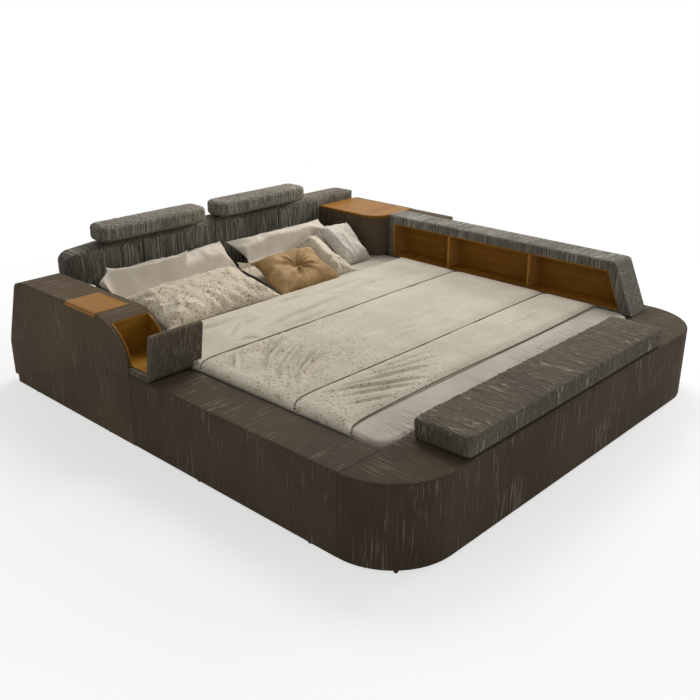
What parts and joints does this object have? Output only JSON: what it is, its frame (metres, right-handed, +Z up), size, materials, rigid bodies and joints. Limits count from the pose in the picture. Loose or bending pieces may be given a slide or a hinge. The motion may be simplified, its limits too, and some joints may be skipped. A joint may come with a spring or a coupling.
{
  "type": "upholstered platform bed",
  "caption": "Upholstered platform bed with built-in nightstands, an open side shelf, a magazine bin, tilting headrests and a hinged storage bench at the foot.",
  "frame": {"origin": "the middle of the bounding box at floor level", "axes": "+Y from the foot to the headboard, +X to the side with the open shelf, +Z up"},
  "size_m": [2.266, 2.5, 0.744],
  "materials": {
    "upholstery": "dark taupe velvet with irregular light streaks",
    "honey_wood": "satin honey veneer",
    "plywood": "raw plywood",
    "linen": "matt off-white cotton",
    "quilted_cotton": "quilted cotton with a faint speckle",
    "floral_cotton": "cotton with a faint speckle",
    "tan_linen": "soft tan linen",
    "steel": "plain steel",
    "black_plastic": "matt",
    "black_rubber": "matt"
  },
  "bodies": {
    "base": {"foot_cover": "upholstery", "foot_carcass": "plywood", "left_rail_cover": "upholstery", "left_rail_carcass": "plywood", "right_rail_cover": "upholstery", "right_rail_carcass": "plywood", "head_rail_cover": "upholstery", "head_rail_carcass": "plywood", "base_glides": "black_plastic", "module_bolts": "steel", "side_ledgers": "plywood", "centre_beam": "plywood", "beam_legs": "steel", "slats": "plywood", "mattress": "linen", "fitted_sheet": "linen", "quilt": "quilted_cotton", "pillow_left_back": "linen", "pillow_left_side": "linen", "pillow_left_front": "floral_cotton", "pillow_right_back": "linen", "pillow_right_side": "linen", "pillow_right_front": "floral_cotton", "knotted_cushion": "tan_linen", "left_nightstand_cover": "upholstery", "left_nightstand_carcass": "plywood", "left_nightstand_inlay": "honey_wood", "magazine_bin_lining": "honey_wood", "magazine_bin_floor": "upholstery", "magazine_bin_front": "upholstery", "right_nightstand_cover": "upholstery", "right_nightstand_carcass": "plywood", "right_nightstand_top": "honey_wood", "right_side_return": "upholstery", "shelf_cover": "upholstery", "shelf_back_panel": "honey_wood", "shelf_floor_panel": "honey_wood", "shelf_top_panel": "honey_wood", "shelf_head_panel": "honey_wood", "shelf_foot_panel": "honey_wood", "shelf_dividers": "honey_wood", "headboard_board": "plywood", "headboard_padding": "upholstery", "headboard_posts": "steel", "headrest_left_brackets": "steel", "headrest_left_pins": "steel", "headrest_right_brackets": "steel", "headrest_right_pins": "steel", "box_hinge_leaves": "steel", "lid_hinge_pins": "steel", "lid_bumpers": "black_rubber"},
    "bench_lid": {"lid_cushion": "upholstery", "lid_board": "plywood", "lid_hinge_leaves": "steel"},
    "headrest_left": {"headrest_left_pad": "upholstery", "headrest_left_board": "plywood", "headrest_left_arms": "steel"},
    "headrest_right": {"headrest_right_pad": "upholstery", "headrest_right_board": "plywood", "headrest_right_arms": "steel"}
  },
  "joints": [
    {"name": "bench_lid_hinge", "type": "hinge", "parent": "base", "child": "bench_lid", "pos_m": [0, -0.993, 0.3418], "axis": [-1, 0, 0], "range_deg": [0, 75]},
    {"name": "headrest_left_tilt", "type": "hinge", "parent": "base", "child": "headrest_left", "pos_m": [-0.398, 1.153, 0.658], "axis": [-1, 0, 0], "range_deg": [0, 75]},
    {"name": "headrest_right_tilt", "type": "hinge", "parent": "base", "child": "headrest_right", "pos_m": [0.333, 1.153, 0.658], "axis": [-1, 0, 0], "range_deg": [0, 75]}
  ]
}
